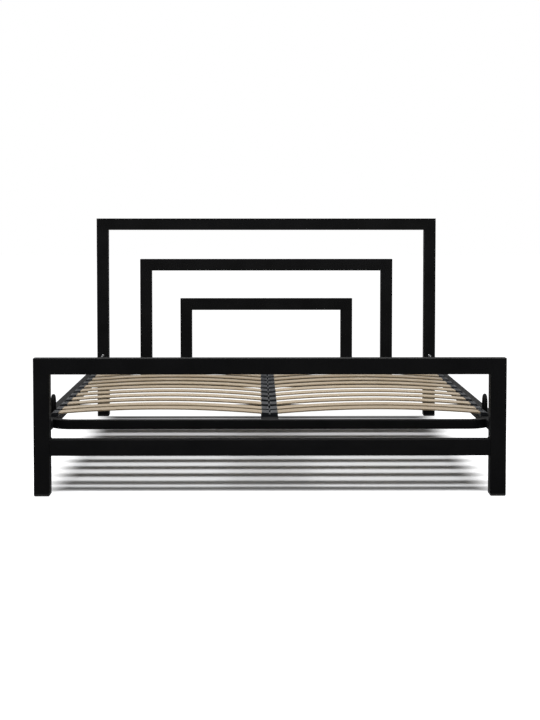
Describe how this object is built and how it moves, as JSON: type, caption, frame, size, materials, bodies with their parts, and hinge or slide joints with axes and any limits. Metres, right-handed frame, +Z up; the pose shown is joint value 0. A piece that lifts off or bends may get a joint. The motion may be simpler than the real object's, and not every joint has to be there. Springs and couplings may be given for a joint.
{
  "type": "metal bed frame",
  "caption": "Double bed frame in square black steel tube, with a headboard of nested arches, a low footboard and a sprung base of bowed beech slats.",
  "frame": {"origin": "on the floor under the middle of the bed", "axes": "+X to the right seen from the foot, +Y from foot to head, +Z up"},
  "size_m": [1.536, 2.12, 0.9],
  "materials": {
    "frame_steel": "satin black powder coat",
    "slat_wood": "bent beech laminate under a clear satin lacquer",
    "holder_plastic": "moulded dark grey polypropylene, fine satin texture",
    "cap_plastic": "moulded black polyethylene",
    "zinc_steel": "bright zinc plating"
  },
  "bodies": {
    "root": {"headboard_post_left": "frame_steel", "headboard_post_right": "frame_steel", "headboard_top_rail": "frame_steel", "headboard_lower_rail": "frame_steel", "middle_arch_left": "frame_steel", "middle_arch_right": "frame_steel", "middle_arch_top": "frame_steel", "inner_arch_left": "frame_steel", "inner_arch_right": "frame_steel", "inner_arch_top": "frame_steel", "footboard_leg_left": "frame_steel", "footboard_leg_right": "frame_steel", "footboard_top_rail": "frame_steel", "footboard_lower_rail": "frame_steel", "side_rail_left": "frame_steel", "side_rail_right": "frame_steel", "end_plates": "frame_steel", "front_cross_tube": "frame_steel", "front_middle_cross_tube": "frame_steel", "rear_middle_cross_tube": "frame_steel", "rear_cross_tube": "frame_steel", "centre_rail": "frame_steel", "mattress_retainer_left": "frame_steel", "mattress_retainer_right": "frame_steel", "foot_caps": "cap_plastic", "slat_holders_left": "holder_plastic", "slat_holders_right": "holder_plastic", "slat_holders_centre": "holder_plastic", "frame_bolts": "zinc_steel", "rivet_nuts": "zinc_steel", "slat_left_01": "slat_wood", "slat_left_02": "slat_wood", "slat_left_03": "slat_wood", "slat_left_04": "slat_wood", "slat_left_05": "slat_wood", "slat_left_06": "slat_wood", "slat_left_07": "slat_wood", "slat_left_08": "slat_wood", "slat_left_09": "slat_wood", "slat_left_10": "slat_wood", "slat_left_11": "slat_wood", "slat_left_12": "slat_wood", "slat_left_13": "slat_wood", "slat_left_14": "slat_wood", "slat_right_01": "slat_wood", "slat_right_02": "slat_wood", "slat_right_03": "slat_wood", "slat_right_04": "slat_wood", "slat_right_05": "slat_wood", "slat_right_06": "slat_wood", "slat_right_07": "slat_wood", "slat_right_08": "slat_wood", "slat_right_09": "slat_wood", "slat_right_10": "slat_wood", "slat_right_11": "slat_wood", "slat_right_12": "slat_wood", "slat_right_13": "slat_wood", "slat_right_14": "slat_wood"}
  },
  "joints": []
}
